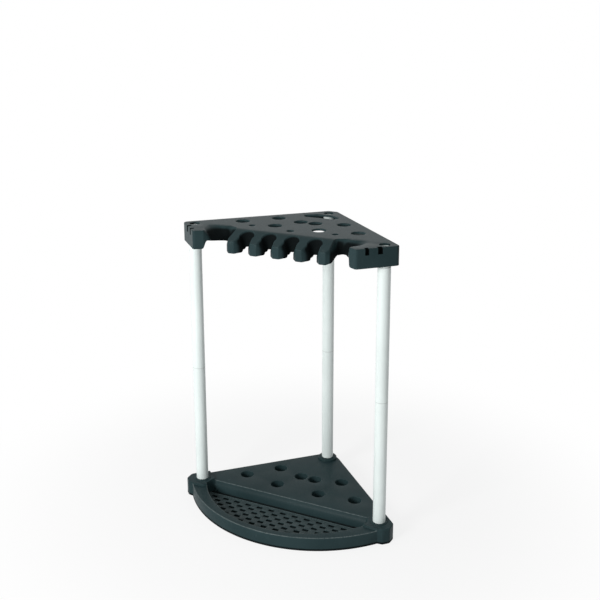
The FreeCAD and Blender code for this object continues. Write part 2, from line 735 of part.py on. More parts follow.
def cut_notches(body):
    """Two notches in the upper edge of each end face, which leave a tab between them."""
    outside = "(post_spacing + cap_end + top_wall)"
    inside = "(post_spacing + cap_end - 2 * top_wall)"
    tab_outer = "(-notch_outer_edge - wide_notch)"
    tab_inner = "(%s - hook_tab)" % tab_outer
    spans = [("(-notch_outer_edge)", tab_outer), (tab_inner, "(%s - narrow_notch)" % tab_inner)]
    notches = new_sketch(body, "notches", "XY_Plane", "top_height - notch_depth")
    for side in (1, -1):
        for outer, inner in spans:
            points = [
                wall_point(inside, outer, side),
                wall_point(outside, outer, side),
                wall_point(outside, inner, side),
                wall_point(inside, inner, side),
            ]
            draw_loop(notches, points if side > 0 else points[::-1])
    pocket(body, notches, "notch_depth")


def check_and_write():
    """Refuse a failed feature or a bad shape, then write each piece to its own file."""
    doc.recompute()
    failed = [thing.Label for thing in doc.Objects if "Invalid" in thing.State or "Error" in thing.State]
    if failed:
        raise RuntimeError("failed: " + ", ".join(failed))
    pieces = [thing for thing in doc.Objects if thing.TypeId == "PartDesign::Body"]
    for piece in pieces:
        if piece.Shape.isNull() or not piece.Shape.isValid() or len(piece.Shape.Solids) != 1:
            raise RuntimeError("bad shape: " + piece.Label)
    os.makedirs("parts", exist_ok=True)
    for piece in pieces:
        box = piece.Shape.BoundBox
        size = "%.1f x %.1f x %.1f mm" % (box.XLength, box.YLength, box.ZLength)
        print("%-20s %s, %.1f cm3" % (piece.Label, size, piece.Shape.Volume / 1000))
        piece.Shape.exportStep("parts/%s.step" % piece.Label)


make_base_tray()
make_drip_grid()
for post_side, post_across, post_forward in POSTS:
    make_post(post_side, post_across, post_forward)
make_rack_top()
check_and_write()
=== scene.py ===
# %% [markdown]
# A corner rack for long garden tools: a moulded base with a drip tray, three tubular posts and a
# moulded top with fingers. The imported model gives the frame, and each piece here is a thin wall of
# plastic worked out with numpy that stands where its construction node stands.

# %% Load the frame
import math

import bmesh
import bpy
import numpy as np
from mathutils import Matrix, Vector
from mathutils.geometry import delaunay_2d_cdt


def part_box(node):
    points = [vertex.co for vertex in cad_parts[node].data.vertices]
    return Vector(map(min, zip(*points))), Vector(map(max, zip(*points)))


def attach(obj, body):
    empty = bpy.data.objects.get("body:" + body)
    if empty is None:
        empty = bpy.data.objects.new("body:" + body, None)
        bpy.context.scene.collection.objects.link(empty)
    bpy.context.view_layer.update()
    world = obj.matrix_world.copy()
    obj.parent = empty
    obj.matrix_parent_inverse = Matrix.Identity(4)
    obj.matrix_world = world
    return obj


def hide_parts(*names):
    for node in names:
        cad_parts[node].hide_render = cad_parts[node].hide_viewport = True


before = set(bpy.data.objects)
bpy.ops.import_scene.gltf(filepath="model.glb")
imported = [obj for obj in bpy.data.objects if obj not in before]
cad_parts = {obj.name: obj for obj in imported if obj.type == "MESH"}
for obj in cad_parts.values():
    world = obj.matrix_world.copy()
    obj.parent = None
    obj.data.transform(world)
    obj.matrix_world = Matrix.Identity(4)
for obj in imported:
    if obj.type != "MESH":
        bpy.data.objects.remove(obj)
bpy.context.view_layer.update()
MM = 0.001

# %% [markdown]
# All shapes are worked out in millimetres, measured from the axis of the back post, because every
# other piece of the real rack is laid out from its posts. X = 0 is the plane of symmetry, the
# front faces -Y, and "along, outward" count along a wall side and towards the wall.

# %% Where the posts stand
def post_axis(side):
    """Middle of the box of a lower tube, in millimetres."""
    low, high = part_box("lower_tube_" + side)
    return np.array([(low[0] + high[0]) / 2, (low[1] + high[1]) / 2]) / MM


BACK_POST = post_axis("back")
POSTS = {side: post_axis(side) - BACK_POST for side in ("back", "right", "left")}
POST_X, POST_Y = POSTS["right"]
SPACING = math.hypot(POST_X, POST_Y)
ROOT_2 = math.sqrt(2)
print("post spacing %.1f mm" % SPACING)


def beside(along, outward):
    """Plan point beside the right wall side.

    x = (along + outward) / sqrt 2 and y = (outward - along) / sqrt 2.
    """
    return (along + outward) / ROOT_2, (outward - along) / ROOT_2


# %% [markdown]
# Heights come from the boxes of the nodes where a node ends there. The front of the base and the
# front of the tray are arcs round points on the plane of symmetry. Fingers and slots share one
# pitch, and END is how far along a wall side the top ends.

# %% Heights, arcs and pitch
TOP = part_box("rack_top")[1][2] / MM
FINGER_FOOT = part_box("rack_top")[0][2] / MM
CAP_FOOT = TOP - 59
DECK = 44
BOSS = DECK + 7
TRAY_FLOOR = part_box("drip_grid")[0][2] / MM
GRID_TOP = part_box("drip_grid")[1][2] / MM
FRONT_CENTRE, FRONT_RADIUS, FRONT_HALF = -92, 438.5, 338
TRAY_CENTRE, TRAY_RADIUS = -156, 352
TRAY_BACK, TRAY_HALF, TRAY_END = -313, 284, 294
PITCH = 77.5
END = SPACING + 30
print("top %.0f, finger foot %.0f, deck %.0f mm" % (TOP, FINGER_FOOT, DECK))

# %% [markdown]
# The top is flat at the back. In front of a crest it falls towards the tips of the fingers, and
# the fall fades out beside the bays. Each bay lies between the outer finger and the nose of an end
# cap, and a crease runs from that nose backwards. The shape and the shade painted into its hollows
# both use these lines.

# %% Lines of the top
CREST = POST_Y - 7
FALL, FALL_HALF, FALL_FADE = 0.48, 205, 25
BAY = 2 * PITCH + 23
NOSE = np.array(beside(SPACING - 2, -111))
ACROSS_CREASE = 0.829, -0.5596
print("crest at y %.1f, nose at %.1f, %.1f mm" % (CREST, NOSE[0], NOSE[1]))

# %% [markdown]
# A moulding starts as its outline seen from above. Corners are listed with the radius of their
# rounding, and each may carry more values, such as how broadly the upper edge is rolled there.

# %% Outlines with rounded corners
ARC_STEP = math.radians(9)
STRAIGHT = 0.01
WELD = 0.02


def arc(before, here, after, radius):
    """Points of the arc that rounds one corner and touches both of its sides.

    An arc of radius r at a turn of angle t starts r tan(t/2) before the corner. A corner without
    a radius or a turn stays one point.
    """
    into = (here - before) / np.linalg.norm(here - before)
    out = (after - here) / np.linalg.norm(after - here)
    turn = math.atan2(into[0] * out[1] - into[1] * out[0], into @ out)
    if radius < STRAIGHT or abs(turn) < STRAIGHT:
        return here[None]
    reach = radius * math.tan(abs(turn) / 2)
    normal = np.array([-into[1], into[0]]) * math.copysign(1, turn)
    centre = here - into * reach + normal * radius
    angles = np.linspace(0, turn, max(3, int(abs(turn) / ARC_STEP)) + 1)
    spoke = -normal * radius
    return np.stack([centre[0] + spoke[0] * np.cos(angles) - spoke[1] * np.sin(angles),
                     centre[1] + spoke[0] * np.sin(angles) + spoke[1] * np.cos(angles)], 1)


def gaps(loop):
    """Distance in plan from each point of a loop to the next."""
    return np.linalg.norm(np.roll(loop, -1, axis=0)[:, :2] - loop[:, :2], axis=1)


def outline(corners, step=4.0):
    """Closed plan loop of corners (x, y, radius, extra...).

    The extra values run evenly between corners. Straight stretches are divided at the step.
    """
    table = np.array(corners, float)
    points, count = table[:, :2], len(table)
    pieces = []
    for i in range(count):
        bend = arc(points[i - 1], points[i], points[(i + 1) % count], table[i, 2])
        pieces.append(np.hstack([bend, np.tile(table[i, 3:], (len(bend), 1))]))
    loop = np.vstack(pieces)
    loop = loop[gaps(loop) > WELD]
    parts = np.maximum(1, np.ceil(gaps(loop) / step).astype(int))
    index = np.repeat(np.arange(len(loop)), parts)
    first = np.repeat(np.cumsum(parts) - parts, parts)
    share = ((np.arange(len(index)) - first) / parts[index])[:, None]
    return loop[index] * (1 - share) + np.roll(loop, -1, axis=0)[index] * share


def outward(loop):
    """Normals of a clockwise loop, from the directions of the two edges that meet in a point.

    They are longer than 1 at a corner, so that an offset keeps its distance from both edges.
    """
    ahead = np.roll(loop, -1, axis=0)[:, :2] - loop[:, :2]
    ahead /= np.linalg.norm(ahead, axis=1)[:, None]
    both = ahead + np.roll(ahead, 1, axis=0)
    both /= np.linalg.norm(both, axis=1)[:, None]
    normal = np.stack([-both[:, 1], both[:, 0]], 1)
    stretch = 1 / np.clip((both * ahead).sum(1), 0.5, 1)
    return normal * stretch[:, None]


def mirrored(half):
    """Corners of the right half, from back to front, followed by their mirror images."""
    right = [corner for corner in reversed(half) if abs(corner[0]) > STRAIGHT]
    return list(half) + [(-x, *rest) for x, *rest in right]


def ring(centre, radius, count=64):
    """Clockwise circle in plan."""
    angle = -np.linspace(0, 2 * np.pi, count, endpoint=False)
    return np.stack([centre[0] + radius * np.cos(angle), centre[1] + radius * np.sin(angle)], 1)


def lifted(loop, z):
    """Plan loop at one height."""
    return np.column_stack([loop, np.full(len(loop), z)])


def eased(loop, spread):
    """Loop whose extra values are averaged along it with weights exp(-(d / spread)^2 / 2)."""
    steps = gaps(loop)
    place = np.concatenate([[0], np.cumsum(steps)[:-1]])
    gap = np.abs(place[:, None] - place)
    gap = np.minimum(gap, steps.sum() - gap)
    weight = np.exp(-0.5 * (gap / spread) ** 2) * (steps + np.roll(steps, 1))
    weight /= weight.sum(1, keepdims=True)
    return np.hstack([loop[:, :2], weight @ loop[:, 2:]])


# %% [markdown]
# A sheet is triangulated between its loops. Blender rounds plan points, so points along a straight
# edge fall in front of or behind it, and slivers or holes would open there. The plan is therefore
# warped first, which bows straight edges, and the warp is undone afterwards.

# %% Plans for the triangulation
WARP = 4e-7
WARP_ROUNDS = 20
SAME_SPOT = 1e-7


def warped(spots):
    """Plan points moved outwards to r + WARP r^3, and rounded as Blender rounds them."""
    moved = spots * (1 + WARP * (spots ** 2).sum(1, keepdims=True))
    return moved.astype(np.float32).astype(float)


def unwarped(bent):
    """Undo the warp by repeating spot = bent / (1 + WARP |spot|^2)."""
    spots = bent
    for _ in range(WARP_ROUNDS):
        spots = bent / (1 + WARP * (spots ** 2).sum(1, keepdims=True))
    return spots


def within(spots, loops):
    """True where a spot lies inside an odd number of loops, counted along a ray towards +X."""
    inside = np.zeros(len(spots), bool)
    x, y = spots[:, 0][:, None], spots[:, 1][:, None]
    for loop in loops:
        a, b = loop, np.roll(loop, -1, axis=0)
        low, high = (a[:, 1] > y), (b[:, 1] > y)
        rise = np.where(np.abs(b[:, 1] - a[:, 1]) < 1e-9, 1e-9, b[:, 1] - a[:, 1])
        cross = a[:, 0] + (y - a[:, 1]) * (b[:, 0] - a[:, 0]) / rise
        inside ^= ((low != high) & (x < cross)).sum(1) % 2 == 1
    return inside


def flat(z):
    """Height function of a flat sheet."""
    return lambda x, y: np.full(len(x), float(z))


def dots(low_x, high_x, low_y, high_y, pitch):
    """Grid of plan points that lets a curved sheet follow its height."""
    x, y = np.meshgrid(np.arange(low_x, high_x, pitch), np.arange(low_y, high_y, pitch))
    return np.stack([x.ravel(), y.ravel()], 1)


print("the warp moves a front post by %.1f mm" % (WARP * SPACING ** 3))

# %% [markdown]
# A skin collects sheets and bands of one moulding. A sheet fills the plan between loops and takes
# its height from a function. A band joins rings of points, such as those of a rolled edge.

# %% The skin of a moulding
FAN_RADIUS = 6


class Skin:
    """Points and faces of one surface, in millimetres from the back post."""

    def __init__(self):
        self.points = []
        self.faces = []
        self.count = 0

    def add(self, points, faces):
        """Append an array of points and its faces."""
        self.points.append(np.asarray(points, float))
        self.faces.extend([[index + self.count for index in face] for face in faces])
        self.count += len(points)

    def band(self, rings):
        """Join closed rings with equal numbers of points: an array of (ring, point, xyz)."""
        rings = np.asarray(rings, float)
        rows, columns = rings.shape[:2]
        grid = np.arange(rows * columns).reshape(rows, columns)
        next_one = np.roll(grid, -1, axis=1)
        quads = np.stack([grid[:-1], next_one[:-1], next_one[1:], grid[1:]], -1)
        self.add(rings.reshape(-1, 3), quads.reshape(-1, 4).tolist())

    def sheet(self, outer, holes, height, extra=None, lines=()):
        """Fill the plan inside one loop and outside the others: z = height(x, y).

        Extra spots and lines across the sheet become points and edges of it.
        """
        loops = [loop[:, :2] for loop in (outer, *holes)]
        points = loops + [line[:, :2] for line in lines]
        edges, start = [], 0
        for number, chain in enumerate(points):
            index = np.arange(len(chain)) + start
            pairs = np.stack([index, np.roll(index, -1)], 1)
            edges.append(pairs if number < len(loops) else pairs[:-1])
            start += len(chain)
        if extra is not None:
            points = points + [extra[within(extra, loops)]]
        spots = [Vector(spot) for spot in warped(np.vstack(points))]
        found = delaunay_2d_cdt(spots, np.vstack(edges).tolist(), [], 1, SAME_SPOT, False)
        bent, triangles = np.array(found[0]), np.array(found[2])
        kept = triangles[within(bent[triangles].mean(1), [warped(loop) for loop in loops])]
        plan = unwarped(bent)
        self.add(np.column_stack([plan, height(plan[:, 0], plan[:, 1])]), kept.tolist())

    def turned(self, centre, profile, count=64):
        """Carry a profile of (radius, height) round a centre and close it where it nears the axis."""
        rings = [lifted(ring(centre, radius, count), z) for radius, z in profile]
        self.band(rings)
        if profile[-1][0] < FAN_RADIUS:
            last = rings[-1]
            fan = [[i, (i + 1) % count, count] for i in range(count)]
            self.add(np.vstack([last, last.mean(0)]), fan)


# %% [markdown]
# The finished skin becomes one object: coinciding points are welded, the faces look outwards, and a
# Solidify modifier gives the moulding its wall. Edges sharper than a set angle are marked, so that
# flat faces look flat and rolled edges look round.

# %% From a skin to an object
SLIVER = 0.005
SHARP = 32


def finish_mesh(mesh, angle):
    """Smooth shading that stops at edges sharper than the angle."""
    mesh.shade_smooth()
    mesh.set_sharp_from_angle(angle=math.radians(angle))


def settle(piece):
    """Replace the mesh of a piece by what its modifiers make of it."""
    graph = bpy.context.evaluated_depsgraph_get()
    made = bpy.data.meshes.new_from_object(piece.evaluated_get(graph))
    piece.modifiers.clear()
    piece.data = made


def placed(name, data):
    """New object in the scene, at the origin."""
    made = bpy.data.objects.new(name, data)
    bpy.context.scene.collection.objects.link(made)
    return made


def welded(name, points, faces, up_at=None):
    """Mesh with coinciding points merged, slivers dropped and faces turned outwards.

    An open skin has no outside of its own, so it is turned to look up at the given spot.
    """
    mesh = bpy.data.meshes.new(name)
    mesh.from_pydata(points * MM, [], faces)
    build = bmesh.new()
    build.from_mesh(mesh)
    bmesh.ops.remove_doubles(build, verts=build.verts, dist=WELD * MM)
    bmesh.ops.dissolve_degenerate(build, edges=build.edges, dist=SLIVER * MM)
    loose = [vert for vert in build.verts if not vert.link_faces]
    bmesh.ops.delete(build, geom=loose, context="VERTS")
    bmesh.ops.recalc_face_normals(build, faces=build.faces)
    if up_at is not None:
        x, y = np.array(up_at[:2]) + BACK_POST
        spot = Vector((x * MM, y * MM, up_at[2] * MM))
        nearest = min(build.faces, key=lambda face: (face.calc_center_median() - spot).length)
        if nearest.normal.z < 0:
            bmesh.ops.reverse_faces(build, faces=build.faces)
    build.to_mesh(mesh)
    build.free()
    return mesh


def moulding(name, skin, up_at=None, wall=None, angle=SHARP):
    """Weld a skin, turn it so that it looks up at a plan spot, and thicken it inwards."""
    points = np.vstack(skin.points)
    points[:, :2] += BACK_POST
    piece = placed(name, welded(name, points, skin.faces, up_at))
    if wall:
        thick = piece.modifiers.new("wall", "SOLIDIFY")
        thick.thickness = wall * MM
        thick.offset = -1
        thick.use_even_offset = False
        settle(piece)
    finish_mesh(piece.data, angle)
    return piece


def dress(piece, material, slot, *nodes):
    """Give a piece its material, its body and the nodes that it stands for."""
    piece.data.materials.clear()
    piece.data.materials.append(material)
    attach(piece, "root")
    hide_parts(*nodes)
    print(piece.name, len(piece.data.polygons), "faces")


# %% [markdown]
# Edges of a moulding are rolled over, because a mould can't fill a sharp edge. The roll of an
# outline follows a changing ellipse, and that of a hole is a quarter circle.

# %% Rolled edges
SWEEP = np.linspace(0, np.pi / 2, 9)
ROLL = np.linspace(0, np.pi / 2, 6)


def rolled_edge(loop, rim, crown, drop, fullness, foot):
    """Rings from the rim of the sheet over the rolled edge and down to the foot.

    Along the sweep angle a, with n = 2 / fullness, the point goes the share 1 - sin(a)^n back from
    the outline to the rim, and stands drop (1 - cos(a)^n) below the crown. Fullness 2 is a quarter
    ellipse and 1 a straight slope.
    """
    power = 2 / (fullness + np.zeros(len(loop)))
    rings = []
    for angle in SWEEP:
        back = (1 - math.sin(angle) ** power)[:, None]
        level = crown - drop * (1 - max(math.cos(angle), 0) ** power)
        rings.append(np.column_stack([loop[:, :2] * (1 - back) + rim * back, level]))
    under = rings[-1][:, 2]
    for share in (0.5, 1.0):
        rings.append(np.column_stack([loop[:, :2], under * (1 - share) + foot * share]))
    return np.array(rings)


def rolled_rim(edge, normal, roll, crown):
    """Rings from the sheet over a quarter circle to the edge of an opening of any outline."""
    return [np.column_stack([edge + normal * roll * (1 - math.sin(angle)),
                             crown - roll * (1 - math.cos(angle))]) for angle in ROLL]


def collar(bore, roll, level, foot):
    """Profile of (radius, height) of a rolled rim that runs down into a round bore."""
    rim = [(bore + roll * (1 - math.sin(a)), level - roll * (1 - math.cos(a))) for a in ROLL]
    return rim + [(bore, foot)]


# %% [markdown]
# Finishes are made of shader nodes. A small class wraps a socket, so that Python's own operators
# add the Math nodes. All patterns read Object coordinates, which are metres on the rack, so a scale
# of 100 gives features of about a centimetre.

# %% Shader arithmetic
class Socket:
    """Output of a node that takes part in Python arithmetic."""

    def __init__(self, nodes, out):
        self.nodes = nodes
        self.out = out

    def maths(self, operation, *values):
        """Math node that starts with this socket."""
        return self.nodes.maths(operation, self, *values)

    def __add__(self, other):
        return self.maths("ADD", other)

    def __sub__(self, other):
        return self.maths("SUBTRACT", other)

    def __rsub__(self, other):
        return self.nodes.maths("SUBTRACT", other, self)

    def __mul__(self, other):
        return self.maths("MULTIPLY", other)

    __radd__ = __add__
    __rmul__ = __mul__

    def most(self, other):
        """The greater of two values."""
        return self.maths("MAXIMUM", other)

    def between(self, low, high):
        """Smooth step: 0 below the low value, 1 above the high one."""
        return self.nodes.node("ShaderNodeMapRange", {"interpolation_type": "SMOOTHSTEP"},
                               {"Value": self, "From Min": low, "From Max": high})

    def past(self, low, high):
        """Smooth step between two lengths in millimetres."""
        return self.between(low * MM, high * MM)

    def short_of(self, low, high):
        """Smooth step down: 1 below the low length in millimetres, 0 above the high one."""
        return 1 - self.past(low, high)


class Nodes:
    """A node tree to which nodes are added."""

    def __init__(self, tree):
        self.tree = tree

    def node(self, kind, settings=None, values=None, out=0):
        """Add a node. Its settings are set first, then each socket gets its value or its link."""
        made = self.tree.nodes.new(kind)
        for key, setting in (settings or {}).items():
            setattr(made, key, setting)
        for key, given in (values or {}).items():
            if isinstance(given, Socket):
                self.tree.links.new(given.out, made.inputs[key])
            else:
                made.inputs[key].default_value = given
        return Socket(self, made.outputs[out])

    def maths(self, operation, *values):
        """Math node of one to three values."""
        return self.node("ShaderNodeMath", {"operation": operation}, dict(enumerate(values)))

    def end(self, name, surface):
        """Link a shader to the surface of an output node."""
        self.tree.links.new(surface.out, self.tree.nodes[name].inputs["Surface"])

    def seen(self):
        """1 for rays from the camera and for rays that a surface mirrors or lets through."""
        camera, glossy, clear = [self.node("ShaderNodeLightPath", out="Is %s Ray" % kind)
                                 for kind in ("Camera", "Glossy", "Transmission")]
        return camera.most(glossy.most(clear))


class Finish(Nodes):
    """A material with a Principled shader and the nodes that feed it."""

    def __init__(self, name, **constants):
        self.material = bpy.data.materials.new(name)
        self.material.use_nodes = True
        super().__init__(self.material.node_tree)
        self.shader = self.tree.nodes["Principled BSDF"]
        for socket, number in constants.items():
            self.shader.inputs[socket.replace("_", " ")].default_value = number
        self.place = self.node("ShaderNodeTexCoord", out="Object")

    def noise(self, scale, detail=2.0, stretch=(1, 1, 1)):
        """Noise between 0 and 1 whose pattern is pulled out along the axes of low stretch."""
        place = self.node("ShaderNodeMapping", values={"Vector": self.place, "Scale": stretch})
        values = {"Vector": place, "Scale": scale, "Detail": detail}
        return self.node("ShaderNodeTexNoise", values=values)

    def blend(self, share, low, high):
        """Colour between two colours."""
        return self.node("ShaderNodeMix", {"data_type": "RGBA"}, {0: share, 6: low, 7: high}, out=2)

    def bump(self, height, strength, distance, under=None):
        """Normal tilted by a height pattern, on top of another bump if one is given."""
        values = {"Height": height, "Strength": strength, "Distance": distance}
        if under:
            values["Normal"] = under
        return self.node("ShaderNodeBump", values=values, out="Normal")

    def feed(self, **links):
        """Link patterns to sockets of the shader."""
        for socket, pattern in links.items():
            self.tree.links.new(pattern.out, self.shader.inputs[socket.replace("_", " ")])
        return self.material


# %% [markdown]
# Slots, bays and the hollow end caps look almost black inside in the photograph, so shade is
# painted into them. It starts a little below the sheet and spares the fingers' tips and the caps'
# faces.

# %% Painted shade in the hollows
class Place:
    """The shaded point in metres: x, its distance out from x = 0, y from the back post, and z."""

    def __init__(self, finish):
        self.x, y, self.z = [finish.node("ShaderNodeSeparateXYZ", values={"Vector": finish.place},
                                         out=axis) for axis in "XYZ"]
        self.y = y - BACK_POST[1] * MM
        self.out = self.x.maths("ABSOLUTE")


def below_sheet(at):
    """Depth of a point below the sheet of the top, in metres.

    The sheet lies FALL times the distance past the crest below the top, and the fall fades out
    over FALL_FADE before FALL_HALF.
    """
    fade = ((FALL_HALF * MM - at.out) * (1 / (FALL_FADE * MM))).most(0.0).maths("MINIMUM", 1.0)
    fall = FALL * (CREST * MM - at.y).most(0.0) * fade
    return (TOP * MM - fall) - at.z


def in_slots(at, below):
    """1 in the slots: the wave cos(2 pi x / pitch) is -1 in the middle of a slot, 1 on a finger."""
    wave = (at.x * (2 * math.pi / (PITCH * MM))).maths("COSINE")
    sideways = (1 - wave.between(0.2, 0.5)) * at.out.short_of(2 * PITCH - 7, 2 * PITCH - 3)
    return below.past(1, 6) * sideways * at.y.past(POST_Y - 61, POST_Y - 50)


def in_bays(at, below):
    """1 in the bays, on the finger's side of the line through the nose along the crease."""
    from_nose = [at.out - NOSE[0] * MM, at.y - NOSE[1] * MM]
    over = from_nose[0] * ACROSS_CREASE[0] + from_nose[1] * ACROSS_CREASE[1]
    sideways = at.out.past(BAY - 5.5, BAY - 1) * over.short_of(-4, 2)
    return below.past(2, 11) * sideways * at.y.past(NOSE[1] + 10, NOSE[1] + 26)


def in_caps(at):
    """1 inside the hollow end caps, which the notches open."""
    along = (at.out - at.y) * (1 / ROOT_2)
    outward = (at.out + at.y) * (1 / ROOT_2)
    inside = along.past(SPACING - 6, SPACING - 5) * along.short_of(END - 1.1, END - 0.6)
    inside = inside * outward.past(-101, -100) * outward.short_of(30, 31)
    return inside * at.z.past(926, 927) * at.z.short_of(948.5, 949.2)


def painted_hollow_shade(at):
    """Painted shade between 0 and 1 in slots, bays and caps."""
    below = below_sheet(at)
    hollow = in_slots(at, below).most(in_bays(at, below))
    hollow = hollow * at.y.short_of(POST_Y + 4, POST_Y + 12) * at.z.past(860, 870)
    return hollow.most(in_caps(at))


# %% [markdown]
# Highlights are painted on what stands proud: both edges of the rim round the tray, the front edge
# of the deck and the bars of the grid. The photograph shows these as thin lighter lines.

# %% Painted highlights on edges
LINE_HIGHLIGHT, BAR_HIGHLIGHT = 0.42, 0.22


def plan_distance(x, y):
    """Length of a plan vector, sqrt(x^2 + y^2)."""
    return (x * x + y * y).maths("SQRT")


def pulse(value, middle, width):
    """1 at the middle of a band, falling to 0 at the width on both sides, in millimetres."""
    return (value - middle * MM).maths("ABSOLUTE").short_of(width * 0.4, width)


def painted_highlights(at):
    """Painted highlight of the edges and bars, before it is broken up."""
    from_front = plan_distance(at.x, at.y - FRONT_CENTRE * MM)
    from_tray = plan_distance(at.x, at.y - TRAY_CENTRE * MM)
    arcs = pulse(from_front, FRONT_RADIUS - 1.5, 2.2)
    arcs = arcs.most(pulse(from_tray, TRAY_RADIUS + 1.2, 1.8))
    arcs = arcs * at.y.short_of(TRAY_BACK - 26, TRAY_BACK - 20)
    back = pulse(at.y, TRAY_BACK + 1, 1.8) * at.out.short_of(TRAY_HALF, TRAY_HALF + 8)
    lines = arcs.most(back) * at.z.past(DECK - 2.5, DECK - 1.8) * at.z.short_of(DECK + 2, DECK + 3)
    bars = at.z.past(8.2, 8.4) * at.z.short_of(10.5, 11)
    bars = bars * from_tray.short_of(TRAY_RADIUS - 3, TRAY_RADIUS - 1)
    bars = bars * at.y.short_of(TRAY_BACK - 23, TRAY_BACK - 22)
    return (lines * LINE_HIGHLIGHT).most(bars * BAR_HIGHLIGHT)


# %% [markdown]
# The mouldings are a dark blue-green plastic with a fine grain from the mould, so highlights are
# broad and slightly broken. Flow of the melt leaves faint cloudy tones and use leaves pale scuffs.
# At the foot and under the grid the plastic is painted darker and duller as shade. A thin clear
# coat gives the gloss, because it can be taken away where shade is painted.

# %% Dark moulded plastic
DEEP, LIGHTER = (0.017, 0.034, 0.037, 1), (0.022, 0.0415, 0.045, 1)
# The pale tone serves scuffs and painted highlights; the near black one is painted shade.
SCUFF_AND_HIGHLIGHT, PAINTED_SHADE = (0.16, 0.19, 0.19, 1), (0.0022, 0.003, 0.0032, 1)


def dark_plastic():
    """Grain, clouds, scuffs, painted edge highlights, and painted shade low down and in the hollows,
    on a dark plastic.
    """
    finish = Finish("dark_plastic", Specular_IOR_Level=0.04, Coat_Roughness=0.3, Coat_IOR=1.45)
    at = Place(finish)
    clouds = finish.noise(9, 3)
    grain = finish.noise(1500, 2)
    blotches = finish.noise(140, 4)
    scuffs = finish.noise(55, 5, (1, 1, 0.25)).between(0.62, 0.78)
    scuffs = scuffs * finish.noise(420, 2).between(0.45, 0.6)
    # Painted shade: below about 8 mm, at the foot and under the grid, the plastic turns near black
    # and dull.
    low_shade = at.z.short_of(5.5, 8.2)
    # Painted shade inside the slots, bays and caps: near black, rough and without coat.
    hollow_shade = painted_hollow_shade(at)
    # Painted highlight on the rim edges, the deck's front edge and the grid bars, broken up by noise.
    highlight_share = painted_highlights(at) * (0.45 + finish.noise(220, 3).between(0.35, 0.6) * 0.75)
    tone = finish.blend(clouds.between(0.3, 0.7), DEEP, LIGHTER)
    # Scuffs and painted highlights both lighten the tone here.
    scuffed_and_highlit = finish.blend(highlight_share.most(scuffs * 0.22), tone, SCUFF_AND_HIGHLIGHT)
    # The near black blended here is painted shade, low down and in the hollows.
    colour = finish.blend((low_shade * 0.85).most(hollow_shade * 0.94), scuffed_and_highlit, PAINTED_SHADE)
    rough = 0.32 + blotches * 0.12 + scuffs * 0.14 + low_shade * 0.3 + hollow_shade * 0.4
    gloss = (1 - hollow_shade) * (0.055 - scuffs * 0.02 - low_shade * 0.04)
    relief = finish.bump(grain, 0.22, 0.0002, finish.bump(blotches, 0.12, 0.0006))
    return finish.feed(Base_Color=colour, Roughness=rough, Coat_Weight=gloss, Normal=relief)


# %% [markdown]
# The tubes are extruded, so their marks run along them: fine lines in gloss and in height. They are
# a cold white that handling has greyed a little in places. The sleeves inside them are grey.

# %% White tube and grey sleeve
def tube_plastic():
    """Lengthwise lines, faint greyed patches and small scuffs on a white plastic."""
    finish = Finish("tube_plastic", Roughness=0.4)
    lines = finish.noise(650, 2, (1, 1, 0.012))
    patches = finish.noise(7, 3)
    scuffs = finish.noise(90, 4, (1, 1, 0.3)).between(0.64, 0.76)
    tone = finish.blend(patches.between(0.35, 0.7), (0.73, 0.80, 0.785, 1), (0.685, 0.755, 0.74, 1))
    marked = finish.blend(scuffs * 0.16, tone, (0.42, 0.44, 0.43, 1))
    rough = 0.33 + lines * 0.1 + patches * 0.1 + scuffs * 0.12
    relief = finish.bump(lines, 0.12, 0.0002)
    return finish.feed(Base_Color=marked, Roughness=rough, Normal=relief)


def joiner_plastic():
    """Grey plastic with a fine grain."""
    finish = Finish("joiner_plastic", Roughness=0.5)
    grain = finish.noise(1200, 2)
    tone = finish.blend(grain, (0.5, 0.54, 0.53, 1), (0.58, 0.62, 0.61, 1))
    relief = finish.bump(grain, 0.15, 0.0002)
    return finish.feed(Base_Color=tone, Roughness=0.45 + grain * 0.1, Normal=relief)


dark, pale, grey = dark_plastic(), tube_plastic(), joiner_plastic()
print("finishes", dark.name, pale.name, grey.name)

# %% [markdown]
# The top. Its outline has the flat back, two straight wall sides, the end caps, a wide bay beside
# each cap and five fingers. Its upper edge is rolled broadly round the slots between them, so that
# a handle slides in, and hardly at all along the wall.

# %% Outline of the top
TIP_Y = POST_Y - 65.5
SLOT_Y = POST_Y - 34
SLOT = 11
TIP = 10
MOUTH = PITCH / 2 - SLOT - TIP
TIGHT = (3, 0, 0, 3, 2, CAP_FOOT)
TIP_ROLL = (3.5, 0, 0, 4, 2, FINGER_FOOT)


def bay_corners():
    """Bay from the nose to the outer finger, where the rolled edge is widest."""
    knee = np.array([BAY + 30, POST_Y - 12])
    slide = knee - NOSE
    return [
        (*(NOSE + slide * 0.1), 1, 3, 2, 0, 14, 1.6, 918),
        (*(NOSE + slide * 0.35), 1, 3, 28, 6, 34, 1.3, 914),
        (*(NOSE + slide * 0.7), 1, 3, 58, 30, 36, 1.4, 911),
        (*knee, 14, 3, 52, 24, 38, 1.6, 908),
        (BAY + 18, POST_Y + 5, 9, 11, 8, 3, 40, 1.8, 904),
        (BAY, POST_Y - 4, 9, 11, 0, 0, 40, 1.25, 902),
        (BAY, TIP_Y + 13, 9, 8, 0, 0, 24, 1.3, 888),
    ]


def slot_corners(middle):
    """Slot at x = middle between two fingers, from right to left."""
    right_side = [
        (middle + SLOT + MOUTH, TIP_Y, 5, *TIP_ROLL),
        (middle + SLOT, TIP_Y + MOUTH, 18, 12, 0, 0, 30, 1.12, FINGER_FOOT + 2),
        (middle + SLOT, SLOT_Y + SLOT, SLOT, 15, 0, 0, 46, 1.12, 900),
    ]
    return right_side + [(2 * middle - x, *rest) for x, *rest in reversed(right_side)]


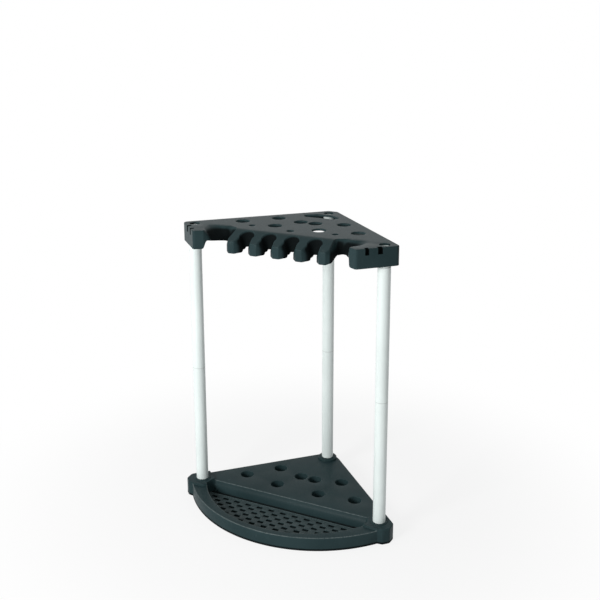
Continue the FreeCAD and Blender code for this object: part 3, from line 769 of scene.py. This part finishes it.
def top_corners():
    """Right half: x, y, corner radius, rim inset, rim shift x and y, drop, fullness, foot height."""
    cap = [
        (17.6, 36, 8, *TIGHT),
        (*beside(END, 37.9), 14, *TIGHT),
        (*beside(END, -104), 9, *TIGHT),
        (*NOSE, 5, *TIGHT),
    ]
    tip = [(2 * PITCH + TIP, TIP_Y, 5, *TIP_ROLL)]
    return cap + bay_corners() + tip + slot_corners(1.5 * PITCH) + slot_corners(0.5 * PITCH)


# %% [markdown]
# The depth of a point past the crest gives its fall, and a soft corner rounds the crest. Beside
# the bays the sheet stays flat, and the wide roll of its edge makes the fall there.

# %% Height of the top
CREST_SOFTNESS = 3.0


def top_height(x, y):
    """Flat height less the fall: slope times soft depth, soft depth = s ln(1 + exp(depth / s))."""
    depth = CREST - y
    power = np.clip(depth / CREST_SOFTNESS, -30, 30)
    soft = CREST_SOFTNESS * np.log1p(np.exp(power))
    fade = np.clip((FALL_HALF - np.abs(x)) / FALL_FADE, 0, 1)
    return TOP - FALL * soft * fade


print("the finger tips lie %.1f mm below the top" % (TOP - top_height(0, TIP_Y)))

# %% [markdown]
# The top has a round hole over each of the eight cups, three small holes, a hole over each post and
# a hand hole at the back. Each has a rolled rim and a short collar. The sheet's points lie close
# together where it falls.

# %% Build the top
CUP_PLACES = [(26, -163), (117, -141), (77, -245), (203, -230)]
CUP_BORE, CUP_ROLL = 22, 3
SMALL_HOLES = [(145, -273, 10), (0, -291, 12)]
SMALL_ROLL = 1.5
SLEEVE_BORE, SLEEVE_ROLL = 16, 2
HAND_HOLE = [(24, -32, 8), (64, -57, 7), (52, -80, 8)]
HAND_ROLL = 3
COLLAR_FOOT = TOP - 6
TOP_WALL = 2.6
EASE = 4


def round_holes():
    """All round holes of the top as (x, y, bore, roll)."""
    holes = [(x * side, y, CUP_BORE, CUP_ROLL) for x, y in CUP_PLACES for side in (1, -1)]
    for x, y, bore in SMALL_HOLES:
        holes += [(x * side, y, bore, SMALL_ROLL) for side in ((1, -1) if x else (1,))]
    return holes + [(x, y, SLEEVE_BORE, SLEEVE_ROLL) for x, y in POSTS.values()]


def make_top():
    """Rolled skirt, collars, hand hole and sheet."""
    skin = Skin()
    loop = eased(outline(mirrored(top_corners())), EASE)
    side = np.sign(loop[:, :1])
    shift = loop[:, 3:5] * np.hstack([side, np.ones_like(side)])
    rim = loop[:, :2] - outward(loop) * loop[:, 2:3] + shift
    crown = top_height(rim[:, 0], rim[:, 1])
    skin.band(rolled_edge(loop, rim, crown, loop[:, 5], loop[:, 6], loop[:, 7]))
    holes = []
    for x, y, bore, roll in round_holes():
        holes.append(ring((x, y), bore + roll))
        skin.turned((x, y), collar(bore, roll, TOP, COLLAR_FOOT))
    hand = outline(mirrored(HAND_HOLE))
    rings = rolled_rim(hand, outward(hand), HAND_ROLL, np.full(len(hand), TOP))
    rings.append(lifted(hand, COLLAR_FOOT))
    skin.band(rings)
    holes.append(rings[0][:, :2])
    fine, coarse = dots(-200, 200, -400, -300, 5), dots(-360, 360, -296, 30, 13)
    skin.sheet(rim, holes, top_height, np.vstack([fine, coarse]))
    return moulding("rack_top_moulding", skin, (0, -200, TOP), TOP_WALL)


# %% [markdown]
# Each end face has two notches. The photograph shows them black, so a closed pocket stands behind
# each, and shade is painted inside the hollow caps. The pockets are blocks joined to the plate from
# under it, and each slot is then cut through the end face into its block.

# %% Notches
NOTCHES = [(-34.3, -18.3), (-74.3, -61.3)]
POCKET_BACK, POCKET_FRONT = SPACING + 14, SPACING + 27.5
POCKET_FOOT, POCKET_HEAD = TOP - 23, TOP - 1.5
POCKET_SIDE = 2
CUT_BACK, CUT_FRONT = SPACING + 17, END + 6
CUT_FOOT, CUT_HEAD = TOP - 20.03, TOP + 5


def brick(near, far, low, high, foot, head, side):
    """Mesh of an upright block beside a wall side, mirrored for side -1."""
    corners = [beside(near, low), beside(far, low), beside(far, high), beside(near, high)]
    plan = np.array(corners) * [side, 1] + BACK_POST
    points = np.array([(x, y, z) for z in (foot, head) for x, y in plan])
    return welded("brick", points, [(0, 1, 2, 3), (4, 5, 6, 7), (0, 1, 5, 4), (1, 2, 6, 5),
                                    (2, 3, 7, 6), (3, 0, 4, 7)])


def cut_notches(piece):
    """Put four blocks under the plate and cut a slot through the end face into each."""
    spans = [(low, high, side) for side in (-1, 1) for low, high in NOTCHES]
    build = bmesh.new()
    build.from_mesh(piece.data)
    for low, high, side in spans:
        build.from_mesh(brick(POCKET_BACK, POCKET_FRONT, low - POCKET_SIDE, high + POCKET_SIDE,
                              POCKET_FOOT, POCKET_HEAD, side))
    build.to_mesh(piece.data)
    build.free()
    for low, high, side in spans:
        block = brick(CUT_BACK, CUT_FRONT, low, high, CUT_FOOT, CUT_HEAD, side)
        cutter = placed("notch", block)
        cut = piece.modifiers.new("notch", "BOOLEAN")
        cut.operation = "DIFFERENCE"
        cut.solver = "FAST"
        cut.object = cutter
        settle(piece)
        bpy.data.objects.remove(cutter)
    finish_mesh(piece.data, SHARP)


top = make_top()
cut_notches(top)
dress(top, dark, "dark_plastic", "rack_top")

# %% [markdown]
# The base. Its outline has a rounded back corner, an end corner beyond each front post and a bowed
# front. A bowed tray is sunk into the front of the deck, and a boss rises round each front post.

# %% Outlines of the base
WALL_SIDE = 37.2
BASE_END = SPACING + 51.2
BOW_POINTS = 40


def bow(centre, radius, half):
    """Corners on a bow from x = half to 0: y = centre - sqrt(radius^2 - x^2)."""
    x = np.linspace(half, 0, BOW_POINTS)
    return [(a, b, 0.0) for a, b in zip(x, centre - np.sqrt(radius ** 2 - x ** 2))]


def base_corners():
    """Right half of the base as (x, y, corner radius)."""
    return [
        (0, WALL_SIDE * ROOT_2, 60),
        (*beside(END, WALL_SIDE), 16),
        (*beside(BASE_END, 14), 14),
        (*beside(BASE_END, -10), 9),
    ] + bow(FRONT_CENTRE, FRONT_RADIUS, FRONT_HALF)


def tray_corners():
    """Right half of the tray as (x, y, corner radius)."""
    end_y = TRAY_CENTRE - math.sqrt(TRAY_RADIUS ** 2 - TRAY_END ** 2)
    return [(TRAY_HALF, TRAY_BACK, 9), (TRAY_END, end_y, 9)] + bow(
        TRAY_CENTRE, TRAY_RADIUS, TRAY_END - 14)


def boss_corners():
    """Right boss as (x, y, corner radius), beyond the outline where it has none of its own."""
    return [
        (*beside(SPACING - 33, 60), 1),
        (*beside(SPACING + 90, 60), 1),
        (*beside(SPACING + 90, -40), 1),
        (FRONT_HALF + 3, POST_Y - 45, 1),
        (TRAY_END + 2, POST_Y - 42, 8),
        (TRAY_HALF - 12, POST_Y - 21, 2),
        (TRAY_HALF - 12, POST_Y, 12),
    ]


print("tray %.0f mm from back to front" % (TRAY_BACK - TRAY_CENTRE + TRAY_RADIUS))

# %% [markdown]
# A boss ends in a short ramp, and the two lines of the ramp are edges of the deck's sheet. Where
# they cross the rim of deck or tray, the rim gets a point.

# %% Bosses on the deck
BOSS_RAMP = 2.0
boss_loop = outline(boss_corners(), 6)[:, :2]
boss_foot = boss_loop + outward(boss_loop) * BOSS_RAMP


def mirror(loop):
    """Left-hand copy of a loop or line, run so that it turns the same way."""
    return (loop * [-1, 1])[::-1]


BOSS_LINES = [np.vstack([line, line[:1]])
              for line in (boss_loop, boss_foot, mirror(boss_loop), mirror(boss_foot))]


def depth_outside(x, y, loop):
    """Distance of points outside a loop, zero inside: the least distance to any of its edges."""
    spots = np.column_stack([x, y])
    a, b = loop[:, :2], np.roll(loop, -1, axis=0)[:, :2]
    edge = b - a
    share = ((spots[:, None] - a) * edge).sum(2) / (edge ** 2).sum(1)
    foot = a + np.clip(share, 0, 1)[..., None] * edge
    distance = np.linalg.norm(spots[:, None] - foot, axis=2).min(1)
    return np.where(within(spots, [loop[:, :2]]), 0, distance)


def deck_height(x, y):
    """Deck height, raised inside each boss: z rises evenly over the ramp round the boss."""
    outside = depth_outside(np.abs(x), y, boss_loop)
    return DECK + (BOSS - DECK) * np.clip(1 - outside / BOSS_RAMP, 0, 1)


def cross(p, q):
    """Cross product of plan vectors."""
    return p[..., 0] * q[..., 1] - p[..., 1] * q[..., 0]


def crossings(loop, line):
    """Where a line crosses the edges of a loop, as edge numbers and shares along those edges.

    Edge a + t r meets segment c + u s where t = (c - a) x s / (r x s) and u = (c - a) x r / (r x s).
    """
    a, b = loop[:, None, :2], np.roll(loop, -1, axis=0)[:, None, :2]
    c, d = line[None, :-1, :2], line[None, 1:, :2]
    r, s = b - a, d - c
    both = cross(r, s)
    both = np.where(np.abs(both) < 1e-12, 1e-12, both)
    t, u = cross(c - a, s) / both, cross(c - a, r) / both
    edges, segments = np.nonzero((t >= 0) & (t < 1) & (u >= 0) & (u < 1))
    return edges, t[edges, segments]


def insert(loops, edges, shares):
    """Put new points at the given shares along the edges of loops that have matching points."""
    order = np.lexsort((shares, edges))
    edges, shares = edges[order], shares[order][:, None]
    done = []
    for loop in loops:
        new = loop[edges] * (1 - shares) + np.roll(loop, -1, axis=0)[edges] * shares
        done.append(np.insert(loop, edges + 1, new, axis=0))
    return done


def with_boss_points(loops):
    """Add the points where the first loop crosses the foot or the top edge of a boss."""
    edges, shares = zip(*[crossings(loops[0], line) for line in BOSS_LINES])
    return insert(loops, np.concatenate(edges), np.concatenate(shares))


# %% [markdown]
# The base is one skin: outer rim and skirt, tray with a leaning back wall, cups, and sockets that
# take the tubes. The deck's sheet comes last and fills what is left.

# %% Build the base
WALL = 3.5
RIM_ROLL = 2.5
BACK_LEAN = 9
TRAY_STEPS = [(0.5, 32), (0.95, 19), (1.0, TRAY_FLOOR + 2)]
CUP_FLOOR = [(21, 14), (19, 13), (4, 13)]
SOCKET = [(27.6, BOSS), (27, 52.6), (26.2, 53.5), (21.2, 53.5), (20.15, 52.6), (20.15, 10), (19, 8),
          (4, 8)]


def make_tray(skin):
    """Tray from its rolled rim down to its floor. Returns its rim."""
    edge = outline(mirrored(tray_corners()))[:, :2]
    rim, edge = with_boss_points([edge + outward(edge) * RIM_ROLL, edge])
    normal = (rim - edge) / RIM_ROLL
    rings = rolled_rim(edge, normal, RIM_ROLL, deck_height(rim[:, 0], rim[:, 1]))
    under = rings[-1][:, 2]
    lean = np.clip((edge[:, 1] - TRAY_BACK + 12) / 10, 0, 1)[:, None] * normal * BACK_LEAN + normal
    for share, level in TRAY_STEPS:
        rings.append(np.column_stack([edge - lean * share, np.minimum(under, level)]))
    floor_loop = rings[-1][:, :2] - normal * 2
    rings.append(lifted(floor_loop, TRAY_FLOOR))
    skin.band(rings)
    skin.sheet(floor_loop, [], flat(TRAY_FLOOR))
    return rim


def make_cups(skin):
    """Cups under the holes of the top. Returns their rims."""
    cups = [(x * side, y) for x, y in CUP_PLACES for side in (1, -1)]
    for cup in cups:
        skin.turned(cup, collar(CUP_BORE, RIM_ROLL, DECK, 16) + CUP_FLOOR)
    return [ring(cup, CUP_BORE + RIM_ROLL) for cup in cups]


def make_sockets(skin):
    """Sockets with a raised ring that take the tubes. Returns their feet."""
    holes = []
    for side, post in POSTS.items():
        foot = [(33.6, DECK), (33, 49.5), (31.5, BOSS)] if side == "back" else [(30, BOSS)]
        holes.append(ring(post, foot[0][0]))
        skin.turned(post, foot + SOCKET)
    return holes


def make_base():
    """Rim, tray, cups, sockets and deck as one skin."""
    skin = Skin()
    loop = outline(mirrored(base_corners()))[:, :2]
    rim, edge = with_boss_points([loop - outward(loop) * RIM_ROLL, loop])
    skin.band(rolled_edge(edge, rim, deck_height(rim[:, 0], rim[:, 1]), RIM_ROLL, 2, 0))
    holes = [make_tray(skin)] + make_cups(skin) + make_sockets(skin)
    skin.sheet(rim, holes, deck_height, lines=BOSS_LINES)
    return moulding("base_moulding", skin, (0, -200, DECK), WALL)


base = make_base()
dress(base, dark, "dark_plastic", "base_tray")

# %% [markdown]
# The drip grid is a flat panel with staggered rows of openings. Those at the bowed edge are cut
# short by the border, so the pattern runs right up to it.

# %% Openings of the drip grid
GAP, BORDER = 2, 7
HALF_CELL, DEEP_CELL, CELL_CORNER = 20 / 2, 11 / 2, 2
CELL_PITCH, ROW_PITCH, ROWS = 43.5, 19.2, 10
PANEL_BACK = TRAY_BACK - 23
FIRST_ROW = 17.5


def cells():
    """Openings of the grid. A cell's points are pulled in to the border's bow where they cross it."""
    found = []
    radius = TRAY_RADIUS - GAP - BORDER
    for row in range(ROWS):
        y = PANEL_BACK - FIRST_ROW - row * ROW_PITCH
        for column in np.arange(-7, 8) + (0.5 if row % 2 else 0):
            x = column * CELL_PITCH
            right, left, back, front = x + HALF_CELL, x - HALF_CELL, y + DEEP_CELL, y - DEEP_CELL
            cell = outline([(right, back, CELL_CORNER), (right, front, CELL_CORNER),
                            (left, front, CELL_CORNER), (left, back, CELL_CORNER)], 3)[:, :2]
            limit = TRAY_CENTRE - np.sqrt(np.maximum(radius ** 2 - cell[:, 0] ** 2, 0))
            cell[:, 1] = np.maximum(cell[:, 1], limit + 0.002 * (cell[:, 1] - y))
            tall = cell[:, 1].max() - cell[:, 1].min()
            open_enough = tall > 4 and limit.max() < back - 3
            if open_enough and abs(x) + HALF_CELL < TRAY_HALF - GAP - BORDER:
                found.append(cell)
    print(len(found), "openings")
    return found


# %% [markdown]
# Both faces of the panel are sheets. A bead joins them round the outline, and a lightly rolled wall
# joins them in every opening. Profiles are (inset, height).

# %% Build the drip grid
CELL_ROLL = 0.8
CELL_WALL = [(CELL_ROLL, GRID_TOP), (0.25, GRID_TOP - 0.25), (0, GRID_TOP - CELL_ROLL),
             (0, TRAY_FLOOR)]
BEAD = [(3.4, GRID_TOP), (2.8, GRID_TOP + 0.5), (2, GRID_TOP + 1.3), (0.8, GRID_TOP + 1.3),
        (0.2, GRID_TOP + 0.7), (0, GRID_TOP), (0, TRAY_FLOOR)]


def walls(loop, normal, profile):
    """Rings of a loop moved against its normal, one for each (inset, height)."""
    return [lifted(loop - normal * inset, z) for inset, z in profile]


def make_grid():
    """Top and bottom sheets joined round the outline and in every opening."""
    skin = Skin()
    radius, end = TRAY_RADIUS - GAP, TRAY_END - GAP
    corners = [(TRAY_HALF + 3, PANEL_BACK, 5),
               (end, TRAY_CENTRE - math.sqrt(radius ** 2 - end ** 2), 6)]
    edge = outline(mirrored(corners + bow(TRAY_CENTRE, radius, end - 10)))[:, :2]
    skin.band(walls(edge, outward(edge), BEAD))
    holes_top, holes_bottom = [], []
    for cell in cells():
        out = outward(cell)
        out /= np.maximum(1, np.linalg.norm(out, axis=1))[:, None]
        rings = walls(cell, -out, CELL_WALL)
        skin.band(rings)
        holes_top.append(rings[0][:, :2])
        holes_bottom.append(rings[-1][:, :2])
    skin.sheet(edge - outward(edge) * BEAD[0][0], holes_top, flat(GRID_TOP))
    skin.sheet(edge, holes_bottom, flat(TRAY_FLOOR))
    return moulding("drip_grid_panel", skin)


grid = make_grid()
dress(grid, dark, "dark_plastic", "drip_grid")

# %% [markdown]
# Each post is a pair of tubes over a sleeve, whose collar keeps them apart at the seam. The upper
# tube narrows to a neck that plugs into the top. Profiles of the walls, with cut ends broken by
# small chamfers, are carried round the axis of the post.

# %% Profiles of the posts
LOWER_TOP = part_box("lower_tube_back")[1][2] / MM
UPPER_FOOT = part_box("upper_tube_back")[0][2] / MM
UPPER_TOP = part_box("upper_tube_back")[1][2] / MM
JOINER_FOOT, JOINER_TOP = (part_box("tube_joiner_back")[k][2] / MM for k in (0, 1))
TUBE, TUBE_BORE, TUBE_FOOT = 20, 18, 8
NECK, NECK_BORE = 17.5, 15.5
SLEEVE, SLEEVE_INSIDE, SEAM_COLLAR = 17.85, 15.85, TUBE - 0.2
CUT = 0.5
LOWER_PROFILE = [
    (TUBE - CUT, LOWER_TOP), (TUBE, LOWER_TOP - CUT), (TUBE, 240), (TUBE, TUBE_FOOT + CUT),
    (TUBE - CUT, TUBE_FOOT), (TUBE_BORE, TUBE_FOOT), (TUBE_BORE, LOWER_TOP)]
UPPER_PROFILE = [
    (NECK, UPPER_TOP), (NECK, 883.2), (TUBE - CUT, 883), (TUBE, 882.5), (TUBE, 660),
    (TUBE, UPPER_FOOT + CUT), (TUBE - CUT, UPPER_FOOT), (TUBE_BORE, UPPER_FOOT), (TUBE_BORE, 875),
    (NECK_BORE, 881), (NECK_BORE, UPPER_TOP)]
JOINER_PROFILE = [
    (SLEEVE - CUT, JOINER_TOP), (SLEEVE, JOINER_TOP - CUT), (SLEEVE, UPPER_FOOT),
    (SEAM_COLLAR, UPPER_FOOT), (SEAM_COLLAR, LOWER_TOP), (SLEEVE, LOWER_TOP),
    (SLEEVE, JOINER_FOOT + CUT), (SLEEVE - CUT, JOINER_FOOT), (SLEEVE_INSIDE, JOINER_FOOT),
    (SLEEVE_INSIDE, JOINER_TOP)]
print("seam %.1f to %.1f mm above the floor" % (LOWER_TOP, UPPER_FOOT))

# %% Build the posts
POST_POINTS = 72
POST_SHARP = 28
PARTS = [("lower_tube_", LOWER_PROFILE, pale, "tube_plastic"),
         ("upper_tube_", UPPER_PROFILE, pale, "tube_plastic"),
         ("tube_joiner_", JOINER_PROFILE, grey, "joiner_plastic")]

for side, post in POSTS.items():
    for node, profile, finish, slot in PARTS:
        skin = Skin()
        skin.turned(post, profile + profile[:1], POST_POINTS)
        piece = moulding(node + side + "_wall", skin, angle=POST_SHARP)
        dress(piece, finish, slot, node + side)

# %% [markdown]
# The floor is pale. To the eye it is mixed with plain white, mostly near the rack and wholly away
# from it, so it meets a white backdrop and still keeps the shadow.

# %% Floor
FLOOR_SIZE = 400
NEAR_WHITE = 0.82
WHITE_FROM, WHITE_TO = 0.45, 1.3

bpy.ops.mesh.primitive_plane_add(size=FLOOR_SIZE, location=(0, 0, 0))
floor = bpy.context.object
floor.name = "floor"
paint = Finish("floor_finish", Base_Color=(0.8, 0.8, 0.8, 1), Roughness=0.9)
reach = paint.node("ShaderNodeVectorMath", {"operation": "LENGTH"}, {0: paint.place}, "Value")
share = paint.seen() * (NEAR_WHITE + reach.between(WHITE_FROM, WHITE_TO) * (1 - NEAR_WHITE))
white = paint.node("ShaderNodeEmission", values={"Color": (1, 1, 1, 1), "Strength": 1.0})
painted = Socket(paint, paint.shader.outputs[0])
mixed = paint.node("ShaderNodeMixShader", values={0: share, 1: painted, 2: white})
paint.end("Material Output", mixed)
floor.data.materials.append(paint.material)

# %% [markdown]
# The world lights the rack evenly at a low level. To the eye it is plain white, as the backdrop of
# the photograph is.

# %% World
AMBIENT = 0.4

world = bpy.data.worlds.new("studio")
bpy.context.scene.world = world
world.use_nodes = True
studio = Nodes(world.node_tree)
plain = world.node_tree.nodes["Background"]
plain.inputs["Color"].default_value = (1, 1, 1, 1)
plain.inputs["Strength"].default_value = AMBIENT
bright = studio.node("ShaderNodeBackground", values={"Color": (1, 1, 1, 1), "Strength": 1.0})
even = Socket(studio, plain.outputs[0])
sky = studio.node("ShaderNodeMixShader", values={0: studio.seen(), 1: even, 2: bright})
studio.end("World Output", sky)

# %% [markdown]
# A soft key lamp stands in front and a little to the left, and a weaker fill high on the left
# opens the shadows.

# %% Lamps
def lamp(name, place, target, size, power):
    """Area lamp in metres that looks at a target."""
    light = bpy.data.lights.new(name, "AREA")
    light.shape = "SQUARE"
    light.size = size
    light.energy = power
    holder = placed(name, light)
    holder.location = place
    holder.rotation_euler = (Vector(target) - Vector(place)).to_track_quat("-Z", "Y").to_euler()


RACK_MIDDLE = (0, 0, 0.5)
lamp("key", (-0.9, -3.35, 1.6), RACK_MIDDLE, 1.1, 98)
lamp("fill", (-2.1, -1.2, 2.6), RACK_MIDDLE, 1.8, 10)

# %% [markdown]
# The camera was fitted to the tubes, the seams and the arcs of the rim in the photograph. Its focal
# length and centre are in pixels of the square picture.

# %% Camera
CAMERA_AT = np.array([1219.3, -2468.0, 1587.7]) * MM
FORWARD = np.array([-0.41722, 0.87694, -0.23856])
UP = np.array([-0.10276, 0.21529, 0.97113])
FOCAL, CENTRE_X, CENTRE_Y = 898.757, 309.391, 240.0
PICTURE = 600
SENSOR = 36

camera_data = bpy.data.cameras.new("camera")
camera = placed("camera", camera_data)
turn = np.column_stack([np.cross(FORWARD, UP), UP, -FORWARD, CAMERA_AT])
camera.matrix_world = Matrix(np.vstack([turn, (0, 0, 0, 1)]).tolist())
camera_data.sensor_width = SENSOR
camera_data.lens = SENSOR * FOCAL / PICTURE
camera_data.shift_x = (PICTURE / 2 - CENTRE_X) / PICTURE
camera_data.shift_y = (CENTRE_Y - PICTURE / 2) / PICTURE
camera_data.clip_end = 100
bpy.context.scene.camera = camera
bpy.context.scene.view_settings.view_transform = "Standard"
print("lens %.1f mm" % camera_data.lens)
